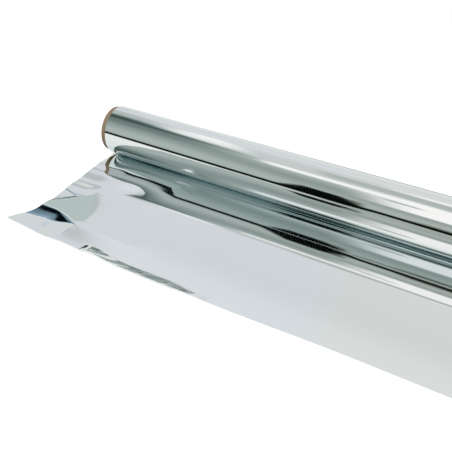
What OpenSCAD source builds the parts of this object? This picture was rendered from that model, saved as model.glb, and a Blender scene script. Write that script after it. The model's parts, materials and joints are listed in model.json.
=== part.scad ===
// A roll of aluminium foil on a cardboard tube, with its loose end laid out in front.
// All sizes are in millimetres. The origin is the middle of the tube's bore.
// X runs along the roll, the loose sheet lies towards -Y, and Z is up.

/* [Cardboard tube] */
// Inside diameter of the tube
core_bore_d = 42; // [30:1:60]
// Wall of the tube
core_wall = 2; // [1:0.25:5]
// How far the tube stands out past the foil at each end
core_standout = 6; // [0:1:30]
// Small bevel on the cut edges of the tube
core_bevel = 0.3; // [0:0.05:0.5]

/* [Wound foil] */
// Width of the foil, along the roll
foil_w = 450; // [200:10:600]
// Thickness of the band that stands for the foil
foil_t = 0.28; // [0.15:0.01:0.5]
// Turns of the band on the tube
turns = 5; // [2:1:10]
// Slack between one turn and the next
turn_gap = 0.05; // [0.03:0.01:0.2]
// Clearance between the tube and the first turn
core_clearance = 0.07; // [0.05:0.01:0.3]

/* [Loose sheet] */
// Length of the sheet, from where it leaves the roll to its cut edge
sheet_l = 154; // [120:1:250]
// How far the left edge is drawn in towards the front
edge_pull = 5; // [0:0.5:10]
// How far the front left corner stands out past the wound foil
corner_out = 5; // [0:0.5:10]
// How far the cut edge falls back at that corner
corner_cut = 2.5; // [0:0.5:5]
// Length of the left edge that turns out to the corner
corner_l = 30; // [15:1:60]

/* [Arch in front of the roll] */
// Height of the arch in the sheet's left part
arch_h = 2; // [0:0.1:3]
// Length of the arch, from the roll outwards
arch_l = 66; // [50:1:80]
// Distance from the left edge at which the arch has died away
arch_reach = 96; // [60:1:180]

/* [Raised part at the front left] */
// Height of the raised part
raised_h = 2.5; // [0:0.1:4]
// Length of the raised part, back from the cut edge
raised_l = 73; // [50:1:80]
// Distance from the left edge at which it has died away
raised_reach = 165; // [80:1:250]

/* [Valley in the raised part] */
// Depth of the valley where it opens at the left edge
valley_depth = 1.9; // [0:0.1:3]
// Width of the valley at the left edge
valley_w = 17; // [8:1:25]
// Distance from the left edge at which the valley ends
valley_reach = 49; // [20:1:80]
// Distance of the valley's bottom from the cut edge, at the left edge
valley_from_cut = 14.5; // [8:0.5:25]
// How much further from the cut edge its bottom is at the inner end
valley_slant = 7; // [0:0.5:15]

/* [Lip along the cut edge] */
// Height of the lip that bends up
lip_h = 1.2; // [0:0.1:3]
// Width of the lip
lip_w = 4.2; // [2:0.1:10]
// Distances from the left edge at which the lip starts and ends
lip_start = 72; // [40:1:90]
lip_end = 176; // [140:1:190]

/* [Hidden] */

// Facets of one turn, and cells of the loose sheet across and along it
turn_facets = 96;
sheet_cols = 44;
sheet_rows = 40;
// Columns crowd towards the left edge and rows towards the cut edge by these powers
col_crowding = 1.7;
row_crowding = 1.4;
// Share of the arch's length at which its crest lies
arch_crest = 0.58;
// Shares of their reach over which arch and raised part keep their full height
arch_full = 0.65;
raised_full = 0.28;
// How full the valley's outline is: 1 is a plain triangle
valley_fullness = 1.8;
// Length of the lip's end that blends into the sheet
lip_blend = 8;

core_r = core_bore_d / 2 + core_wall;
core_l = foil_w + 2 * core_standout;
turn_pitch = foil_t + turn_gap;
first_turn_r = core_r + core_clearance;
last_turn_r = first_turn_r + turns * turn_pitch;
roll_r = last_turn_r + foil_t;
wound_rows = turns * turn_facets;
edge_x = foil_w / 2;

// Rises smoothly from 0 to 1 as t goes from 0 to 1, and stays flat outside
function ease(t) = t <= 0 ? 0 : t >= 1 ? 1 : t * t * (3 - 2 * t);
// Stays 1 over the full share of a reach from the left edge, then falls smoothly to 0
function died_away(from_left, reach, full) =
    1 - ease((from_left / reach - full) / (1 - full));

// Each form of the loose sheet is a height above the table, at a distance in from its
// left edge and a distance out from the line where it leaves the roll.
// The arch rises to its crest and comes down again
function arch(from_left, out) =
    let (t = out / arch_l, way = t < arch_crest ? t / arch_crest : (1 - t) / (1 - arch_crest))
    arch_h * pow(sin(90 * max(0, way)), 2) * died_away(from_left, arch_reach, arch_full);
// The raised part climbs more and more steeply, and levels off above the valley
function raised(from_left, out) =
    let (climb_l = raised_l - valley_from_cut - valley_w,
         t = min(1, max(0, (out - sheet_l + raised_l) / climb_l)))
    raised_h * (0.45 * t + 0.55 * t * t) * died_away(from_left, raised_reach, raised_full);
// The valley drops from its rim to its bottom, less and less steeply
function valley(from_left, out) =
    let (inward = min(1, from_left / valley_reach),
         width = valley_w * (1 - pow(inward, valley_fullness)),
         bottom = sheet_l - valley_from_cut - valley_slant * inward,
         t = width <= 0 ? 0 : min(1, max(0, (out - bottom + width) / width)))
    -valley_depth * width / valley_w * (1.5 * t - 0.5 * t * t);
// The lip is a straight slope
function lip(from_left, out) =
    lip_h * max(0, 1 - (sheet_l - out) / lip_w)
    * ease((from_left - lip_start) / lip_blend)
    * (1 - ease((from_left - lip_end) / lip_blend + 1));
function lift(from_left, out) =
    max(0, arch(from_left, out) + raised(from_left, out)
        + valley(from_left, out) + lip(from_left, out));

// How near a place is to the cut edge, from 0 to 1 over the length of the corner
function near_cut(out) = ease(1 - (sheet_l - out) / corner_l);
// How far a place is drawn in from the left edge, and back from the cut edge
function drawn_in(from_left, out) =
    (edge_pull * ease((out - arch_crest * arch_l) / raised_l)
        - (edge_pull + corner_out) * near_cut(out))
    * pow(max(0, 1 - from_left / arch_l), 2);
function drawn_back(from_left, out) =
    corner_cut * near_cut(out) * died_away(from_left, valley_reach, 0);

// Points across the band in the wound part: both edges, inner skin then outer skin
function wound_row(j) =
    let (turn = j / turn_facets,
         angle = 270 + 360 * (turns - turn),
         r = first_turn_r + turn_pitch * turn)
    [for (x = [-edge_x, edge_x], skin = [0, foil_t])
        [x, (r + skin) * cos(angle), (r + skin) * sin(angle)]];

// Points across the loose sheet: every column, top skin then underside
function sheet_row(k) =
    let (out = sheet_l * (1 - pow(1 - k / sheet_rows, row_crowding)))
    [for (i = [0 : sheet_cols], skin = [foil_t, 0])
        let (from_left = foil_w * pow(i / sheet_cols, col_crowding))
        [from_left - edge_x + drawn_in(from_left, out),
         drawn_back(from_left, out) - out,
         skin - roll_r + lift(from_left, out)]];

// Where a point stands in the list: side 0 is the left edge and 1 the right,
// skin 0 is the inner or top skin and 1 the outer skin or underside
function sheet_pt(k, i, skin) =
    4 * wound_rows + 2 * (k * (sheet_cols + 1) + i) + skin;
function edge_pt(j, side, skin) =
    j < wound_rows
    ? 4 * j + 2 * side + skin
    : sheet_pt(j - wound_rows, side * sheet_cols, skin);
// A face seen from its other side
function flip(face, turned) = turned ? [for (n = [len(face) - 1 : -1 : 0]) face[n]] : face;

module core() {
    color("burlywood")
    rotate([0, 90, 0])
    rotate_extrude()
    translate([core_bore_d / 2, -core_l / 2])
    polygon([
        [0, 0],
        [core_wall - core_bevel, 0],
        [core_wall, core_bevel],
        [core_wall, core_l - core_bevel],
        [core_wall - core_bevel, core_l],
        [0, core_l]]);
}

// One unbroken band: it winds round the tube, leaves under the roll and lies out flat
module foil() {
    last_row = wound_rows + sheet_rows;
    middle = floor(sheet_cols / 2);
    points = concat(
        [for (j = [0 : wound_rows - 1]) each wound_row(j)],
        [for (k = [0 : sheet_rows]) each sheet_row(k)]);
    faces = concat(
        // the two cut ends of the band
        [[edge_pt(0, 1, 0), edge_pt(0, 0, 0), edge_pt(0, 0, 1), edge_pt(0, 1, 1)]],
        [for (i = [0 : sheet_cols - 1])
            [sheet_pt(sheet_rows, i, 0), sheet_pt(sheet_rows, i + 1, 0),
             sheet_pt(sheet_rows, i + 1, 1), sheet_pt(sheet_rows, i, 1)]],
        // the thin left and right edges
        [for (j = [0 : last_row - 1], side = [0, 1])
            flip([edge_pt(j, side, 0), edge_pt(j + 1, side, 0),
                  edge_pt(j + 1, side, 1), edge_pt(j, side, 1)], side == 1)],
        // both skins of the wound turns
        [for (j = [0 : wound_rows - 2], skin = [0, 1])
            flip([edge_pt(j, 0, skin), edge_pt(j, 1, skin),
                  edge_pt(j + 1, 1, skin), edge_pt(j + 1, 0, skin)], skin == 1)],
        // the last facet of the turns fans out to the columns of the sheet
        [for (skin = [0, 1])
            flip([edge_pt(wound_rows - 1, 0, skin), edge_pt(wound_rows - 1, 1, skin),
                  sheet_pt(0, middle, skin)], skin == 1)],
        [for (i = [0 : sheet_cols - 1], skin = [0, 1])
            flip([edge_pt(wound_rows - 1, i < middle ? 0 : 1, skin),
                  sheet_pt(0, i + 1, skin), sheet_pt(0, i, skin)], skin == 1)],
        // both skins of the loose sheet
        [for (k = [0 : sheet_rows - 1], i = [0 : sheet_cols - 1], skin = [0, 1], half = [0, 1])
            flip(half == 0
                ? [sheet_pt(k, i, skin), sheet_pt(k, i + 1, skin), sheet_pt(k + 1, i + 1, skin)]
                : [sheet_pt(k, i, skin), sheet_pt(k + 1, i + 1, skin), sheet_pt(k + 1, i, skin)],
                skin == 1)]);
    color("silver")
    polyhedron(points, faces, convexity = 10);
}

core();
foil();
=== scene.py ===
"""A roll of aluminium foil on a cardboard tube, with its loose end laid out in front.

Lengths are in metres and the axes are the frame's: X runs along the roll, the loose
sheet lies towards -Y, and Z is up. The origin is the middle of the tube's bore.
"""

import json
import math

import bpy
import numpy as np
from mathutils import Matrix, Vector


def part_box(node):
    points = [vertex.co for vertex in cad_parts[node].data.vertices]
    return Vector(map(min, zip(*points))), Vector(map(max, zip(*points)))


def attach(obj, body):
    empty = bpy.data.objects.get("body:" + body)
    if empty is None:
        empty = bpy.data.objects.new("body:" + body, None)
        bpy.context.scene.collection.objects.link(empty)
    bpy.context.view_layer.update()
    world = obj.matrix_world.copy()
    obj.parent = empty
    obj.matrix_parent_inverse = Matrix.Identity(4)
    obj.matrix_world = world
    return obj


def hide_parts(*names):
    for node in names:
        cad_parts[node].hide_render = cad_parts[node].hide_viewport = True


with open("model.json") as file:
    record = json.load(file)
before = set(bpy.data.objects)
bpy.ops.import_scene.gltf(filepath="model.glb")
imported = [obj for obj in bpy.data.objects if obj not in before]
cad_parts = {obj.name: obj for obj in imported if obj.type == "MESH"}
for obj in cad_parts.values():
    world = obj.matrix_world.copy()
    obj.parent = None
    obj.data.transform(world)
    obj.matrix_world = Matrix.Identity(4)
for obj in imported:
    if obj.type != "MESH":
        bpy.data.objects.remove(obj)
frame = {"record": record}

bl_info = {
    "name": "Foil roll",
    "version": (1, 0, 0),
    "blender": (4, 5, 0),
    "location": "3D View > Sidebar > Foil roll",
    "description": "A roll of aluminium foil on its cardboard tube, and a stage for it",
    "category": "Add Mesh",
}

MM = 0.001
DEGREE = math.pi / 180

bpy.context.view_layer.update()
FOIL_LOW, FOIL_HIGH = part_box("foil")
TUBE_LOW, TUBE_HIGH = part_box("core")
FOIL_WIDTH = 2 * FOIL_HIGH[0]
SHEET_LENGTH = -FOIL_LOW[1]
ROLL_RADIUS = -FOIL_LOW[2]
TUBE_RADIUS = TUBE_HIGH[2]
TUBE_LENGTH = TUBE_HIGH[0] - TUBE_LOW[0]
BORE_RADIUS = frame["record"]["mounts"][0]["dims"]["r_mm"] * MM


def length(name, default, description):
    """A property that holds a length in metres."""
    return bpy.props.FloatProperty(
        name=name, description=description, default=default, min=0, unit="LENGTH", precision=5
    )


def number(name, default, description):
    """A property that holds a plain number."""
    return bpy.props.FloatProperty(name=name, description=description, default=default)


def count(name, default, description):
    """A property that holds a whole number."""
    return bpy.props.IntProperty(name=name, description=description, default=default, min=1)


def colour(name, default, description):
    """A property that holds a linear colour."""
    return bpy.props.FloatVectorProperty(
        name=name, description=description, default=default, subtype="COLOR", size=3, min=0, max=1
    )


def screen(red, green, blue):
    """The linear colour that shows on the screen as these three values out of 255."""
    share = np.array([red, green, blue]) / 255
    linear = np.where(share <= 0.04045, share / 12.92, ((share + 0.055) / 1.055) ** 2.4)
    return tuple(float(v) for v in linear)


class FoilSizes(bpy.types.PropertyGroup):
    """Sizes and colours of the foil."""

    thickness: length("Band thickness", 0.28 * MM, "Thickness of the band that stands for foil")
    slack: length("Slack", 0.05 * MM, "Gap between one turn and the next")
    turns: count("Turns", 5, "Turns of the band on the tube")
    inner_facets: count("Inner facets", 96, "Facets of each hidden turn")
    outer_rows: count("Outer rows", 144, "Rows of the mesh round the outermost turn")
    sheet_rows: count("Sheet rows", 216, "Rows of the mesh along the loose sheet")
    columns: count("Columns", 168, "Columns of the mesh across the sheet")
    turn_columns: count("Turn columns", 10, "Columns of the mesh along the wound turns")
    metal: colour("Metal", (0.93, 0.94, 0.945), "Colour of the bright metal")
    # Darker colour painted on the wound turns' underside as shade near the sheet
    painted_shade_metal: colour("Metal in painted shade", (0.77, 0.83, 0.84), "Its colour under the wound turns")
    streak_depth: length("Streak depth", 0.007 * MM, "Depth of the rolling streaks")


class TubeSizes(bpy.types.PropertyGroup):
    """Sizes and colours of the cardboard tube."""

    bevel: length("Bevel", 0.35 * MM, "Rounding of the cut edges")
    segments: count("Segments", 160, "Segments round the tube")
    rings: count("Rings", 60, "Rings along each face of the tube")
    ply_pitch: length("Ply pitch", 62 * MM, "Length of one turn of the outer ply along the tube")
    ply_thickness: length("Ply thickness", 0.4 * MM, "Thickness of one ply at the cut ends")
    board_relief: length("Board relief", 0.05 * MM, "Depth of the fibres and the seam")
    kraft: colour("Kraft", screen(147, 128, 104), "Colour of the kraft paper")
    kraft_dark: colour("Dark kraft", screen(104, 88, 66), "Colour of its dark fibres and its seam")


class StageSizes(bpy.types.PropertyGroup):
    """Camera, floor and light."""

    lens: number("Lens", 33.67, "Focal length of the camera in millimetres, on a 36 mm sensor")
    camera_x: length("Camera X", 34.6 * MM, "Place of the camera along the roll")
    camera_out: length("Camera out", 343.3 * MM, "Distance of the camera in front of the roll")
    camera_up: length("Camera up", 193.0 * MM, "Height of the camera above the roll's axis")
    yaw: number("Yaw", 20.48, "Degrees that the camera turns to the left")
    pitch: number("Pitch", 36.27, "Degrees that the camera looks down")
    tilt: number("Tilt", 6.48, "Degrees that the camera leans")
    floor_size: length("Floor", 3.0, "Side of the floor")
    floor_gap: length("Floor gap", 0.05 * MM, "Distance of the floor below the foil")
    floor: colour("Floor", screen(236, 237, 238), "Colour of the floor")
    lamp_size: length("Lamp size", 0.7, "Side of the square lamp")
    lamp_power: number("Lamp power", 7, "Power of the lamp in watts")


class Value:
    """A number on a node's socket. Arithmetic on it adds Math nodes."""

    def __init__(self, nodes, socket):
        self.nodes = nodes
        self.socket = socket

    def math(self, operation, *others):
        """The result of a Math node on this value and the others."""
        return self.nodes.math(operation, self, *others)

    def __add__(self, other):
        return self.nodes.math("ADD", self, other)

    def __radd__(self, other):
        return self.nodes.math("ADD", other, self)

    def __sub__(self, other):
        return self.nodes.math("SUBTRACT", self, other)

    def __rsub__(self, other):
        return self.nodes.math("SUBTRACT", other, self)

    def __mul__(self, other):
        return self.nodes.math("MULTIPLY", self, other)

    def __rmul__(self, other):
        return self.nodes.math("MULTIPLY", other, self)

    def __truediv__(self, other):
        return self.nodes.math("DIVIDE", self, other)

    def __rtruediv__(self, other):
        return self.nodes.math("DIVIDE", other, self)

    def __neg__(self):
        return self.nodes.math("MULTIPLY", self, -1.0)


class Nodes:
    """A node tree that is filled by short calls."""

    def __init__(self, tree):
        self.tree = tree
        tree.nodes.clear()

    def add(self, kind, settings=None, inputs=None):
        """A new node of a type, with its settings set first and then its sockets."""
        node = self.tree.nodes.new(kind)
        for name, value in (settings or {}).items():
            if name == "stops":
                self.fill_ramp(node.color_ramp, value)
            else:
                setattr(node, name, value)
        for name, value in (inputs or {}).items():
            socket = node.inputs[name]
            if isinstance(value, Value):
                self.tree.links.new(value.socket, socket)
            elif isinstance(value, bpy.types.NodeSocket):
                self.tree.links.new(value, socket)
            elif socket.type == "RGBA" and len(value) == 3:
                socket.default_value = (*value, 1.0)
            else:
                socket.default_value = value
        return node

    @staticmethod
    def fill_ramp(ramp, stops):
        """Puts (place, colour) stops into a colour ramp that starts with two."""
        while len(ramp.elements) < len(stops):
            ramp.elements.new(1.0)
        for element, (place, tint) in zip(ramp.elements, stops):
            element.position = place
            element.color = (*tint, 1.0)

    def math(self, operation, *numbers):
        """The result of a Math node."""
        node = self.add("ShaderNodeMath", {"operation": operation}, dict(enumerate(numbers)))
        return Value(self, node.outputs[0])

    def step(self, value, low, high):
        """Rises smoothly from 0 to 1 as a value goes from low to high."""
        node = self.add(
            "ShaderNodeMapRange",
            {"interpolation_type": "SMOOTHSTEP"},
            {"Value": value, "From Min": low, "From Max": high},
        )
        return Value(self, node.outputs["Result"])

    def band(self, value, low, high, soft):
        """1 where a value is between low and high, with soft edges outside that."""
        return self.step(value, low - soft, low) * (1 - self.step(value, high, high + soft))

    def mix(self, factor, first, second, blend="MIX"):
        """A colour between two others."""
        node = self.add(
            "ShaderNodeMix",
            {"data_type": "RGBA", "blend_type": blend},
            {"Factor": factor, 6: first, 7: second},
        )
        return node.outputs[2]

    def ramp(self, value, stops):
        """A colour that follows a value through (place, colour) stops."""
        node = self.add("ShaderNodeValToRGB", {"stops": stops}, {"Fac": value})
        return node.outputs["Color"]

    def coordinates(self, name, scale=(1, 1, 1)):
        """A named output of Texture Coordinate, scaled along each axis."""
        source = self.add("ShaderNodeTexCoord").outputs[name]
        node = self.add("ShaderNodeMapping", None, {"Vector": source, "Scale": scale})
        return node.outputs["Vector"]

    def level(self, value, stops):
        """A number that follows a value through grey ramp stops."""
        return self.split(self.ramp(value, stops))[0]

    def split(self, vector):
        """The three numbers of a vector."""
        node = self.add("ShaderNodeSeparateXYZ", None, {"Vector": vector})
        return [Value(self, socket) for socket in node.outputs]

    def noise(self, vector, scale, detail=3.0, rough=0.5):
        """Cloudy noise from about 0 to 1."""
        node = self.add(
            "ShaderNodeTexNoise",
            None,
            {"Vector": vector, "Scale": scale, "Detail": detail, "Roughness": rough},
        )
        return Value(self, node.outputs[0])

    def bump(self, height, depth, strength=1.0):
        """A normal that follows a height, where a height of 1 is this deep."""
        node = self.add(
            "ShaderNodeBump",
            None,
            {"Height": height, "Distance": depth, "Strength": strength},
        )
        return node.outputs["Normal"]


def new_material(name):
    """An empty material and the nodes to fill it with."""
    material = bpy.data.materials.new(name)
    material.use_nodes = True
    return material, Nodes(material.node_tree)


def finish_material(nodes, settings):
    """Ends a material in a Principled shader with these sockets."""
    shader = nodes.add("ShaderNodeBsdfPrincipled", None, settings)
    nodes.add("ShaderNodeOutputMaterial", None, {"Surface": shader.outputs[0]})


def bright_foil_material(sizes):
    """Mirror-bright rolled foil.

    Fine rolling streaks run along the roll, strong on the wound turns and faint on the
    loose sheet, with patches that are a little duller where the foil has been handled.
    The underside of the wound turns, which faces the sheet, has painted shade: a darker, cooler
    colour.
    """
    material, nodes = new_material("bright_foil")
    streaks = nodes.noise(nodes.coordinates("Object", (1.4, 260, 260)), 1.0, 4.0, 0.62)
    broad = nodes.noise(nodes.coordinates("Object", (2.2, 60, 60)), 1.0, 2.0)
    handled = nodes.noise(nodes.coordinates("Object", (22, 34, 34)), 1.0, 3.0)
    _, y, z = nodes.split(nodes.coordinates("Object"))
    radius = (y * y + z * z).math("SQRT")
    wound = nodes.step(z, -ROLL_RADIUS + 0.6 * MM, -ROLL_RADIUS + 9 * MM)
    # Painted shade: the underside of the wound turns, near where they meet the sheet, gets a
    # darker colour
    under = 1 - nodes.step(z, -11 * MM, -6 * MM)
    under = under * (1 - nodes.step(radius, ROLL_RADIUS + 0.3 * MM, ROLL_RADIUS + 2 * MM))
    relief = (streaks * 0.4 + broad) * (0.06 + wound * 0.94)
    tint = nodes.mix(handled, tuple(sizes.metal), tuple(0.975 * v for v in sizes.metal))
    tint = nodes.mix(under, tint, tuple(sizes.painted_shade_metal))
    finish_material(
        nodes,
        {
            "Base Color": tint,
            "Metallic": 1.0,
            "Roughness": 0.028 + handled * 0.03 + streaks * wound * 0.03,
            "Normal": nodes.bump(relief, sizes.streak_depth),
        },
    )
    return material


def kraft_board_material(sizes):
    """Spiral-wound kraft board.

    Fibres lie along the winding, the outer ply's edge shows as a dark line that climbs
    round the tube, and the cut ends show their plies as rings. The tube's lower half,
    which little light reaches, is darker.
    """
    material, nodes = new_material("kraft_board")
    x, y, z = nodes.split(nodes.coordinates("Object"))
    turn = y.math("ARCTAN2", z) / (2 * math.pi)
    phase = (x / sizes.ply_pitch + turn).math("FRACT")
    seam = nodes.band(phase, 0.488, 0.5, 0.006)
    radius = (y * y + z * z).math("SQRT")
    plies = nodes.math("SINE", radius * (2 * math.pi / sizes.ply_thickness)) * 0.5 + 0.5
    half = TUBE_LENGTH / 2
    end_face = nodes.step(x.math("ABSOLUTE"), half - 0.2 * MM, half - 0.02 * MM)
    fibres = nodes.noise(nodes.coordinates("Object", (420, 900, 900)), 1.0, 4.0, 0.6)
    blotches = nodes.noise(nodes.coordinates("Object", (60, 80, 80)), 1.0, 2.0)
    shade = fibres * 0.45 + blotches * 0.35 + end_face * plies * 0.35
    board = nodes.mix(shade, tuple(sizes.kraft), tuple(sizes.kraft_dark))
    board = nodes.mix(seam * 0.8, board, tuple(0.7 * v for v in sizes.kraft_dark))
    lower = 1 - nodes.step(z, -20 * MM, 4 * MM)
    board = nodes.mix(lower, board, nodes.mix(1.0, board, (0.5, 0.52, 0.48), "MULTIPLY"))
    relief = fibres - seam * 1.5 + end_face * plies
    finish_material(
        nodes,
        {
            "Base Color": board,
            "Roughness": 0.82 + fibres * 0.12,
            "Normal": nodes.bump(relief, sizes.board_relief, 0.6),
        },
    )
    return material


def ease(t):
    """Rises smoothly from 0 to 1 as t goes from 0 to 1: 3t^2 - 2t^3, flat outside."""
    t = np.clip(t, 0, 1)
    return t * t * (3 - 2 * t)


def fade(place, middle, reach):
    """Falls smoothly from 1 to 0 over a reach about a middle."""
    return 1 - ease((place - middle) / reach + 0.5)


def wave(d, crest, foot):
    """A quarter sine squared up to the crest, then a quarter cosine squared to the foot."""
    rising = np.sin(np.pi / 2 * np.clip(d / crest, 0, 1)) ** 2
    return rising * np.cos(np.pi / 2 * np.clip((d - crest) / (foot - crest), 0, 1)) ** 2


# The lifts below are heights in millimetres, for a point that lies a millimetres in from
# the sheet's left edge and d millimetres out from the line where it leaves the roll.


def arch_lift(a, d):
    """Low arch in the sheet's left part, just in front of the roll.

    It is the sum of two waves: a broad one, which dies away slowly along a, and a lower
    and shorter one, which ends in a smooth step further from the left edge. Near the
    left edge the crests of both lie further out.
    """
    outer = 1 - ease((a - 16) / 30)
    foot = 75.3 - 5.4 * outer - 6.8 * ease((a - 40) / 25)
    broad = 2.35 * wave(d, 44.6 + 5.6 * outer, foot)
    broad_end = 65.9 - 1.4 * ease((d - 56) / 10)
    short = 1.03 * wave(d, 24.5 + 11.5 * outer, 46.9 + 2.6 * outer)
    short_end = 88.7 + 7.1 * ease((d - 36) / 14)
    short_reach = 29 - 20 * ease((d - 16) / 20)
    return broad * fade(a, broad_end, 60.7) + short * fade(a, short_end, short_reach)


def raised_lift(a, d):
    """Slight rise of the whole sheet in front of the roll, and its raised front left part.

    The raised part climbs from a slope of 0.03 more and more steeply, and comes down
    again a little towards the cut edge. Along a it is a smooth step down.
    """
    rise = 0.69 * ease((d - 33.5) / 44)
    run = np.clip(d - 81, 0, 43 + 8 * ease((a - 20) / 25))
    climb = (0.027 * run + 0.0008 * run**2) * ease((d - 79) / 5)
    brow = 120 + 6 * ease((a - 36) / 14)
    decline = 0.39 * ease((d - brow) / (SHEET_LENGTH / MM - brow))
    return rise + climb * (1 - decline) * (1 - ease((a - 42) / 90))


def valley_lift(a, d):
    """Valley that opens at the left edge and cuts into the raised part.

    It drops from a sharp curved rim along a facet to a straight crease, less and less
    steeply, and goes on behind the crease as an almost level flap. The drop is a share of
    the distance from rim to crease, so both meet at the valley's inner end, where the
    surface comes back up behind the crease.
    """
    rim = 122.6 + 0.0064 * np.maximum(0, a - 10) ** 2
    crease = 139.7 - 0.1495 * a
    width = (crease - rim + np.sqrt((crease - rim) ** 2 + 1)) / 2
    t = np.clip((d - rim) / width, 0, 1)
    steepness = 0.17 * (1 + 0.011 * np.minimum(a, 45))
    levelling = 0.5 - 0.38 * ease((a - 20) / 18)
    drop = steepness * width * (t - levelling * t**2)
    recovery = ease((d - crease) / 22) * ease((a - 38) / 10)
    flap = 0.07 * np.maximum(0, d - crease) * (1 - ease(a / 38))
    return flap - drop * (1 - recovery)


def dimple_lift(a, d):
    """Shallow dimple at the left edge, beside a rise of the same height.

    It is the distance from its middle line times a bell over d and a flat-topped bell
    over a.
    """
    return 0.1 * (d - 77) * np.exp(-(((d - 77) / 8) ** 2) - ((a - 4) / 21) ** 6)


def dent_lift(a, d):
    """Small three-sided dent at the left edge. It sinks outwards and has steep sides.

    The depth grows with the distance from the upper side, and is eased to nothing over
    a short way at the upper and at the lower side.
    """
    upper = d - (91.6 + 0.235 * (a - 4))
    lower = 95.6 - 0.892 * (a - 21) - d
    return -(0.33 + 0.03 * np.maximum(upper, 0)) * ease(upper / 1.3) * ease(lower / 1.6)


def lip_lift(a, d):
    """Narrow strip along the cut edge that bends up, a little steeper at its left end.

    It is a straight slope with slight crinkles, from a line that wavers along a.
    """
    start = 146.8 - 2 * ease((a - 72) / 10) + 2.3 * ease((a - 86) / 18)
    start = start - 0.6 * ease((a - 110) / 36) + 3.4 * ease((a - 146) / 28)
    run = np.maximum(0, d - start)
    crinkles = 0.008 * np.sin(a / 3.3 + d)
    slope = 0.4 - 0.047 * ease((a - 92) / 10) + crinkles
    slope = slope * ease((a - 72) / 4) * (1 - ease((a - 168) / 12))
    return slope * run * ease(run / 0.7 + 0.3)


def sheet_shape(inward, out):
    """Shift along X, shift towards -Y and height of the loose sheet's points.

    The left edge is drawn in towards the front and stands out at the corner, and the
    cut edge swings a little to and fro. The height is the sum of the lifts.
    """
    a = inward / MM
    d = out / MM
    shift = 1.9 * ease((d - 20) / 36) + 5.6 * ease((d - 66) / 60) - 11.5 * ease((d - 124) / 32)
    shift = shift * np.maximum(0, 1 - a / 60) ** 2
    cut = -2.6 * (1 - ease(a / 45)) + 2.4 * ease((a - 60) / 35) * (1 - ease((a - 140) / 45))
    cut = (cut - 2.3 * ease((a - 185) / 100)) * ease((d - 130) / 24)
    lifts = (arch_lift, raised_lift, valley_lift, dimple_lift, dent_lift, lip_lift)
    lift = sum(form(a, d) for form in lifts)
    return shift * MM, cut * MM, np.maximum(lift, 0) * MM


def spread(total, cells, spacing):
    """Places from 0 to total, where the gap between two follows a spacing function."""
    fine = np.linspace(0, total, 4001)
    run = np.concatenate([[0], np.cumsum(1 / spacing((fine[1:] + fine[:-1]) / 2 / MM))])
    return np.interp(np.linspace(0, run[-1], cells + 1), run, fine)


def zip_faces(first, second, flipped=False):
    """Triangles between two rows of point numbers of different lengths.

    Each segment of either row joins the point of the other row that its middle has
    reached, as the teeth of a zip do.
    """
    first, second = np.asarray(first), np.asarray(second)
    mid_first = (np.arange(len(first) - 1) + 0.5) / (len(first) - 1)
    mid_second = (np.arange(len(second) - 1) + 0.5) / (len(second) - 1)
    reached = np.searchsorted(mid_second, mid_first)
    one = np.stack([first[:-1], first[1:], second[reached]], axis=1)
    reached = np.searchsorted(mid_first, mid_second, side="right")
    two = np.stack([first[reached], second[1:], second[:-1]], axis=1)
    faces = np.concatenate([one, two])
    return faces[:, ::-1] if flipped else faces


def grid_faces(grid, flipped=False):
    """Quads between the neighbouring point numbers of a two-dimensional grid."""
    quads = np.stack([grid[:-1, :-1], grid[:-1, 1:], grid[1:, 1:], grid[1:, :-1]], axis=-1)
    quads = quads.reshape(-1, 4)
    return quads[:, ::-1] if flipped else quads


def make_object(name, points, faces, material, sharp_angle):
    """A smooth-shaded object with its place in its mesh, riding on the root body."""
    mesh = bpy.data.meshes.new(name)
    mesh.from_pydata(points.tolist(), [], faces)
    mesh.polygons.foreach_set("use_smooth", np.ones(len(mesh.polygons), dtype=bool))
    mesh.set_sharp_from_angle(angle=sharp_angle)
    mesh.materials.append(material)
    mesh.update()
    piece = bpy.data.objects.new(name, mesh)
    bpy.context.scene.collection.objects.link(piece)
    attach(piece, "root")
    return piece


def wound_points(sizes):
    """Points of the wound turns: skin, row round the tube, column along it.

    Each row stands at its own angle, which runs backwards from the lowest line, and at a
    radius that grows by one pitch each turn.
    """
    pitch = sizes.thickness + sizes.slack
    first_radius = ROLL_RADIUS - sizes.thickness - sizes.turns * pitch
    inner_turns = sizes.turns - 1
    turn = np.concatenate(
        [
            np.arange(inner_turns * sizes.inner_facets) / sizes.inner_facets,
            inner_turns + np.arange(sizes.outer_rows) / sizes.outer_rows,
        ]
    )
    angle = 1.5 * np.pi + 2 * np.pi * (sizes.turns - turn)
    across = FOIL_WIDTH * np.linspace(-0.5, 0.5, sizes.turn_columns + 1)
    points = np.empty((2, len(turn), len(across), 3))
    for skin in (0, 1):
        radius = first_radius + pitch * turn + skin * sizes.thickness
        points[skin, ..., 0] = across
        points[skin, ..., 1] = (radius * np.cos(angle))[:, None]
        points[skin, ..., 2] = (radius * np.sin(angle))[:, None]
    return points


def sheet_points(sizes):
    """Points of the loose sheet: skin, row outwards from the roll, column along it.

    The columns stand closer together in the left part and the rows along the lip. Their
    shifts and heights are those of sheet_shape.
    """
    inward = spread(FOIL_WIDTH, sizes.columns, lambda a: 0.8 + 5.5 * ease((a - 90) / 220))
    out = spread(SHEET_LENGTH, sizes.sheet_rows, lambda d: 0.75 - 0.4 * ease((d - 145) / 5))
    shift, cut, lift = sheet_shape(inward[None, :], out[:, None])
    points = np.empty((2, *lift.shape, 3))
    for skin in (0, 1):
        points[skin, ..., 0] = inward - FOIL_WIDTH / 2 + shift
        points[skin, ..., 1] = -out[:, None] - cut
        points[skin, ..., 2] = lift - ROLL_RADIUS + (1 - skin) * sizes.thickness
    return points


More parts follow.
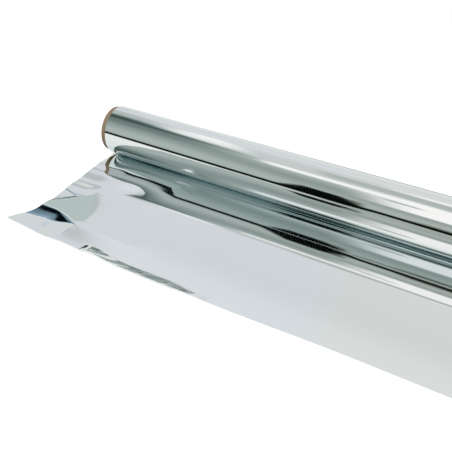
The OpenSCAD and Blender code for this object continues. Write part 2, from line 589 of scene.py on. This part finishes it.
def foil_web(sizes):
    """Points and faces of the whole foil, as one closed band.

    The band has two skins, joined along its left and right edges and at its two ends.
    The wound turns end one row before their lowest line, where the loose sheet starts.
    There each skin goes from the few columns of the turns to the many of the sheet in
    one row of triangles.
    """
    wound = wound_points(sizes)
    sheet = sheet_points(sizes)
    points = np.concatenate([wound.reshape(-1, 3), sheet.reshape(-1, 3)])
    turns = np.arange(wound.size // 3).reshape(wound.shape[:3])
    flat = wound.size // 3 + np.arange(sheet.size // 3).reshape(sheet.shape[:3])
    left = np.concatenate([turns[:, :, 0], flat[:, :, 0]], axis=1)
    right = np.concatenate([turns[:, :, -1], flat[:, :, -1]], axis=1)
    quads = [
        grid_faces(left.T),
        grid_faces(right.T, flipped=True),
        grid_faces(flat[::-1, -1]),
        grid_faces(turns[:, 0]),
    ]
    triangles = []
    for skin, flipped in ((0, True), (1, False)):
        quads.append(grid_faces(turns[skin], flipped))
        quads.append(grid_faces(flat[skin], flipped))
        triangles.append(zip_faces(turns[skin, -1], flat[skin, 0], flipped))
    return points, [*np.concatenate(quads).tolist(), *np.concatenate(triangles).tolist()]


def tube_surface(sizes):
    """Points and faces of the cardboard tube.

    A closed profile of the wall, with rounded corners, is carried round the X axis.
    """
    half = TUBE_LENGTH / 2
    bevel = sizes.bevel
    arc = np.linspace(0, np.pi / 2, 5)
    along = np.linspace(-half + bevel, half - bevel, sizes.rings)
    outside = np.stack([along, np.full_like(along, TUBE_RADIUS)], axis=1)
    inside = np.stack([along[::-1], np.full_like(along, BORE_RADIUS)], axis=1)
    corner = bevel * np.stack([np.sin(arc), np.cos(arc)], axis=1)
    right_out = np.array([half - bevel, TUBE_RADIUS - bevel]) + corner
    right_in = np.array([half - bevel, BORE_RADIUS + bevel]) + corner[::-1] * [1, -1]
    left_in = np.array([-half + bevel, BORE_RADIUS + bevel]) - corner
    left_out = np.array([-half + bevel, TUBE_RADIUS - bevel]) + corner[::-1] * [-1, 1]
    profile = np.concatenate(
        [outside[1:-1], right_out, right_in, inside[1:-1], left_in, left_out]
    )
    angle = np.linspace(0, 2 * np.pi, sizes.segments, endpoint=False)
    x = np.broadcast_to(profile[:, 0], (sizes.segments, len(profile)))
    radius = np.broadcast_to(profile[:, 1], x.shape)
    points = np.stack(
        [x, radius * np.cos(angle)[:, None], radius * np.sin(angle)[:, None]], axis=-1
    )
    grid = np.arange(points.size // 3).reshape(points.shape[:2])
    closed = np.concatenate([grid, grid[:1]])
    closed = np.concatenate([closed, closed[:, :1]], axis=1)
    return points.reshape(-1, 3), grid_faces(closed, flipped=True).tolist()


def placed(right, up, back, place):
    """The matrix of an object that has these three axes and stands at this place."""
    matrix = np.eye(4)
    matrix[:3, :3] = np.stack([right, up, back], axis=1)
    matrix[:3, 3] = place
    return Matrix(matrix.tolist())


def camera_for(stage):
    """Adds the camera, turned by its yaw, pitch and tilt from looking along +Y."""
    data = bpy.data.cameras.new("camera")
    data.lens = stage.lens
    data.sensor_width = 36
    data.clip_start = 10 * MM
    camera = bpy.data.objects.new("camera", data)
    yaw, pitch, tilt = (v * DEGREE for v in (stage.yaw, stage.pitch, stage.tilt))
    ahead = np.array(
        [-math.sin(yaw) * math.cos(pitch), math.cos(yaw) * math.cos(pitch), -math.sin(pitch)]
    )
    level = np.array([math.cos(yaw), math.sin(yaw), 0])
    upright = np.cross(level, ahead)
    right = level * math.cos(tilt) + upright * math.sin(tilt)
    up = upright * math.cos(tilt) - level * math.sin(tilt)
    place = (stage.camera_x, -stage.camera_out, stage.camera_up)
    camera.matrix_world = placed(right, up, -ahead, place)
    bpy.context.scene.collection.objects.link(camera)
    bpy.context.scene.camera = camera


# The walls of the studio: rows of the angle above the front horizon, in degrees, and a
# level from 0, black, to 1, white
LEFT_WALL = (
    (9, 0.68), (14, 0.70), (26, 0.70), (38, 0.63), (52, 0.57), (60, 0.50), (74, 0.46),
    (81, 0.34), (87, 0.28), (92, 0.33), (97, 0.47), (102, 0.70), (124, 0.74), (128, 0.83),
    (134, 0.84), (146, 0.83), (160, 0.86), (180, 0.88), (205, 0.93),
)
RIGHT_WALL = (
    (9, 0.70), (22, 0.69), (30, 0.63), (45, 0.57), (60, 0.65), (67, 0.74), (74, 0.79),
    (104, 0.79), (122, 0.83), (130, 0.87), (133, 0.87), (136, 0.83), (140, 0.84),
    (155, 0.86), (180, 0.90), (205, 0.96),
)
# The colour that each level has
TONES = (
    (0.0, screen(2, 6, 6)),
    (0.1, screen(16, 24, 23)),
    (0.3, screen(66, 80, 77)),
    (0.5, screen(119, 134, 131)),
    (0.7, screen(175, 185, 182)),
    (0.8, screen(206, 211, 211)),
    (0.9, screen(231, 235, 234)),
    (1.0, screen(255, 255, 255)),
)


def towards(level, goal, share):
    """Moves a level towards a goal by a share from 0 to 1."""
    return level + (goal - level) * share


def wall_stops(rows):
    """Ramp stops from rows of an angle and a level."""
    return [((angle + 90) / 360, (level, level, level)) for angle, level in rows]


def wall_level(nodes, x, place):
    """Level of the walls at a place round the roll: one run for the left, one for the right."""
    left = nodes.level(place, wall_stops(LEFT_WALL))
    right = nodes.level(place, wall_stops(RIGHT_WALL))
    upper = nodes.step(place * 360 - 90, 80, 92)
    return towards(left, right, nodes.step(x, -0.49 - upper * 0.06, -0.17 - upper * 0.25))


def panel_masks(nodes, x, angle):
    """Masks of a grey panel behind the roll at the left, and of its thin dark outline.

    The panel's inner side is curved: it swings out with the square of the angle.
    """
    bend = (angle - 146.5).math("MINIMUM", 0.0)
    side = x + bend * bend * 0.0028
    inside = nodes.step(x, -0.66, -0.645) * (1 - nodes.step(side, -0.543, -0.535))
    panel = inside * nodes.band(angle, 143.6, 147.6, 0.8)
    rims = nodes.band(angle, 142.7, 142.9, 0.5) + nodes.band(angle, 148.2, 148.4, 0.5)
    inner = nodes.band(side, -0.539, -0.535, 0.004) * nodes.band(angle, 143, 148, 0.8)
    return panel, rims * inside + inner


def with_windows(nodes, level, x, angle):
    """The level with window lights, one bar in them and one slightly darker zone on top."""
    tall = nodes.band(angle, 96, 106, 7) * nodes.band(x, -0.41, -0.34, 0.09) * 0.75
    high = nodes.band(angle, 108, 115, 6) * nodes.band(x, -0.38, -0.36, 0.09)
    near = nodes.band(angle, 71, 78, 4) * nodes.band(x, -0.22, 0.3, 0.05)
    right = nodes.band(angle, 42, 80, 7) * nodes.step(x, -0.08, 0.12)
    bar = nodes.band(angle, 61.5, 64.5, 2) * nodes.band(x, 0.05, 0.10, 0.03)
    streak = nodes.band(angle, 112, 118, 4) * nodes.step(x, 0.0, 0.15)
    level = towards(level, 1.0, tall.math("MAXIMUM", high))
    level = towards(level, 1.0, near * 0.95)
    level = towards(level, 1.0, right)
    level = towards(level, 0.6, bar * 0.75)
    level = towards(level, 1.0, streak * 0.85)
    return level - nodes.band(angle, 90, 106, 3) * nodes.step(x, -0.15, -0.08) * 0.08


def with_dark_front(nodes, level, x, angle, low):
    """The level with a dark strip along the front horizon and a dark card that stands on it.

    The strip's lower side is at the angle low.
    """
    strip = nodes.step(angle, low - 1.5, low) * (1 - nodes.step(angle, low + 6, low + 10))
    past_card = ((x + 0.1).math("ABSOLUTE") - 0.045).math("MAXIMUM", 0.0)
    card = (1 - nodes.step(past_card * 330 + angle, 20, 25)) * nodes.step(angle, -4, -2)
    return level * (1 - strip * 0.97) * (1 - card)


def with_ground(nodes, level, direction, angle, low):
    """The level with the ground below the horizon, in front of the roll and behind it.

    In front it starts just under the dark strip, whose lower side is at the angle low.
    """
    x, y, z = direction
    ground = 0.93 - nodes.step(x, -0.44, -0.25) * 0.16 - nodes.step(x, -0.2, 0.0) * 0.12
    ground = towards(ground, 0.9, 1 - nodes.step(angle, -50, -25))
    below_front = 1 - nodes.step(angle, low - 2.5, low - 1)
    below_back = 1 - nodes.step(z, -0.02, 0.0)
    return towards(level, ground, towards(below_front, below_back, nodes.step(y, 0.0, 0.15)))


def studio_light(nodes):
    """Colour of the studio in each direction, as the metal mirrors it.

    A level from black to white follows the angle above the front horizon, in the plane
    across the roll. On the walls lie a panel, a blue and two black zones at the far left,
    windows, a dark strip and card in front, and the ground. The tones turn a little
    green in the darks, cool at the left and warm at the right.
    """
    direction = nodes.split(nodes.coordinates("Generated"))
    x, y, z = direction
    place = (z.math("ARCTAN2", -y) / (2 * math.pi) + 0.25).math("FRACT")
    angle = place * 360 - 90
    low = nodes.step(x, -0.05, 0.03) * 5 - 4.5

    panel, outline = panel_masks(nodes, x, angle)
    level = towards(wall_level(nodes, x, place), 0.745, panel) - outline * 0.09
    far_side = 1 - nodes.step(x, -0.61, -0.585)
    blue = far_side * nodes.band(angle, 112, 127.5, 0.9)
    level = towards(level, 0.5 + nodes.step(angle, 118, 127) * 0.15, blue)
    level = level * (1 - far_side * nodes.band(angle, 96, 116, 3) * 0.98)
    level = level * (1 - far_side * nodes.band(angle, 155, 185, 4) * 0.75)
    level = with_windows(nodes, level, x, angle)
    level = with_dark_front(nodes, level, x, angle, low)
    warm = nodes.band(x, -0.05, -0.015, 0.02) * nodes.band(angle, 9, 19, 5)
    warm = warm + nodes.step(x, 0.08, 0.15) * nodes.band(angle, 3, 9, 8)
    level = with_ground(nodes, level * (1 - warm * 0.42), direction, angle, low)
    level = towards(level, 0.76, (1 - nodes.step(x, -0.94, -0.88)) * 0.8)

    tones = nodes.ramp(level, TONES)
    tones = nodes.mix(blue, tones, nodes.mix(1.0, tones, (0.76, 0.93, 1.2), "MULTIPLY"))
    tones = nodes.mix(panel, tones, nodes.mix(1.0, tones, (0.96, 1.01, 1.0), "MULTIPLY"))
    hue = nodes.mix(nodes.step(x, -0.35, 0.12), (0.98, 0.995, 0.985), (1.0, 0.99, 0.968))
    cool = nodes.band(angle, 128, 142, 5) * nodes.band(x, -0.56, -0.08, 0.14)
    hue = nodes.mix(cool, hue, (0.985, 0.985, 1.035))
    hue = nodes.mix(warm, hue, (1.12, 0.98, 0.82))
    return nodes.mix(1.0, tones, hue, "MULTIPLY")


def studio_world():
    """White behind the object for the camera, the studio for metal, plain light for the rest."""
    world = bpy.data.worlds.new("studio")
    bpy.context.scene.world = world
    world.use_nodes = True
    nodes = Nodes(world.node_tree)
    path = nodes.add("ShaderNodeLightPath")
    camera = Value(nodes, path.outputs["Is Camera Ray"])
    mirrored = Value(nodes, path.outputs["Is Glossy Ray"])
    clear = Value(nodes, path.outputs["Is Transmission Ray"])
    tint = nodes.mix(mirrored, (0.72, 0.73, 0.74), studio_light(nodes))
    tint = nodes.mix(camera.math("MAXIMUM", clear), tint, (1, 1, 1))
    light = nodes.add("ShaderNodeBackground", None, {"Color": tint, "Strength": 1.0})
    nodes.add("ShaderNodeOutputWorld", None, {"Surface": light.outputs[0]})


def floor_material(stage):
    """Pale floor that is white to the camera where nothing shades it."""
    material, nodes = new_material("pale_floor")
    grain = nodes.noise(nodes.coordinates("Object", (3, 3, 3)), 1.0, 2.0)
    tint = nodes.mix(grain * 0.15, tuple(stage.floor), tuple(0.97 * v for v in stage.floor))
    matt = nodes.add("ShaderNodeBsdfDiffuse", None, {"Color": tint})
    path = nodes.add("ShaderNodeLightPath")
    camera = Value(nodes, path.outputs["Is Camera Ray"])
    glow = nodes.add("ShaderNodeEmission", None, {"Color": (1, 1, 1), "Strength": camera * 0.35})
    both = nodes.add("ShaderNodeAddShader", None, {0: matt.outputs[0], 1: glow.outputs[0]})
    nodes.add("ShaderNodeOutputMaterial", None, {"Surface": both.outputs[0]})
    return material


def key_lamp(stage):
    """Adds a soft square lamp above the left front, which metal doesn't mirror."""
    data = bpy.data.lights.new("key_lamp", "AREA")
    data.size = stage.lamp_size
    data.energy = stage.lamp_power
    light = bpy.data.objects.new("key_lamp", data)
    place = np.array([-0.5, -0.5, 0.9])
    away = place / np.linalg.norm(place)
    side = np.cross([0, 1, 0], away)
    side = side / np.linalg.norm(side)
    light.matrix_world = placed(side, np.cross(away, side), away, place)
    light.visible_glossy = False
    bpy.context.scene.collection.objects.link(light)


class FOIL_OT_tube(bpy.types.Operator):
    """Adds the cardboard tube that the foil is wound on."""

    bl_idname = "foil_roll.tube"
    bl_label = "Add cardboard tube"

    def execute(self, context):
        """Makes the tube in place of the plain one."""
        sizes = context.scene.foil_roll_tube
        points, faces = tube_surface(sizes)
        piece = make_object(
            "cardboard_tube", points, faces, kraft_board_material(sizes), 30 * DEGREE
        )
        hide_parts("core")
        return {"FINISHED"}


class FOIL_OT_web(bpy.types.Operator):
    """Adds the foil: the wound turns and the loose sheet in one piece."""

    bl_idname = "foil_roll.web"
    bl_label = "Add foil"

    def execute(self, context):
        """Makes the foil in place of the plain one."""
        sizes = context.scene.foil_roll_foil
        points, faces = foil_web(sizes)
        piece = make_object("foil_web", points, faces, bright_foil_material(sizes), 40 * DEGREE)
        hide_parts("foil")
        return {"FINISHED"}


class FOIL_OT_stage(bpy.types.Operator):
    """Adds the floor, the studio and the lamp that light it, and the camera."""

    bl_idname = "foil_roll.stage"
    bl_label = "Add stage"

    def execute(self, context):
        """Makes everything that isn't part of the roll."""
        stage = context.scene.foil_roll_stage
        half = stage.floor_size / 2
        level = -ROLL_RADIUS - stage.floor_gap
        corners = [(x * half, y * half, level) for x, y in ((-1, -1), (1, -1), (1, 1), (-1, 1))]
        mesh = bpy.data.meshes.new("floor")
        mesh.from_pydata(corners, [], [(0, 1, 2, 3)])
        mesh.materials.append(floor_material(stage))
        floor = bpy.data.objects.new("floor", mesh)
        context.scene.collection.objects.link(floor)
        floor.visible_glossy = False
        studio_world()
        key_lamp(stage)
        camera_for(stage)
        context.scene.view_settings.view_transform = "Standard"
        context.scene.cycles.glossy_bounces = 10
        return {"FINISHED"}


class FOIL_PT_panel(bpy.types.Panel):
    """Lists the pieces of the roll in the sidebar."""

    bl_idname = "FOIL_PT_panel"
    bl_label = "Foil roll"
    bl_space_type = "VIEW_3D"
    bl_region_type = "UI"
    bl_category = "Foil roll"

    def draw(self, context):
        """Shows one button for each piece."""
        for operator in OPERATORS:
            self.layout.operator(operator.bl_idname)


GROUPS = {
    "foil_roll_tube": TubeSizes,
    "foil_roll_foil": FoilSizes,
    "foil_roll_stage": StageSizes,
}
OPERATORS = (FOIL_OT_stage, FOIL_OT_tube, FOIL_OT_web)


def register():
    """Registers the classes and puts their settings on the scene."""
    for cls in (*GROUPS.values(), *OPERATORS, FOIL_PT_panel):
        bpy.utils.register_class(cls)
    for name, group in GROUPS.items():
        setattr(bpy.types.Scene, name, bpy.props.PointerProperty(type=group))


def unregister():
    """Takes the settings and the classes away again."""
    for name in GROUPS:
        delattr(bpy.types.Scene, name)
    for cls in (FOIL_PT_panel, *reversed(OPERATORS), *GROUPS.values()):
        bpy.utils.unregister_class(cls)


def main():
    """Makes the stage and the pieces."""
    register()
    bpy.ops.foil_roll.stage()
    bpy.ops.foil_roll.tube()
    bpy.ops.foil_roll.web()


if __name__ == "__main__":
    main()
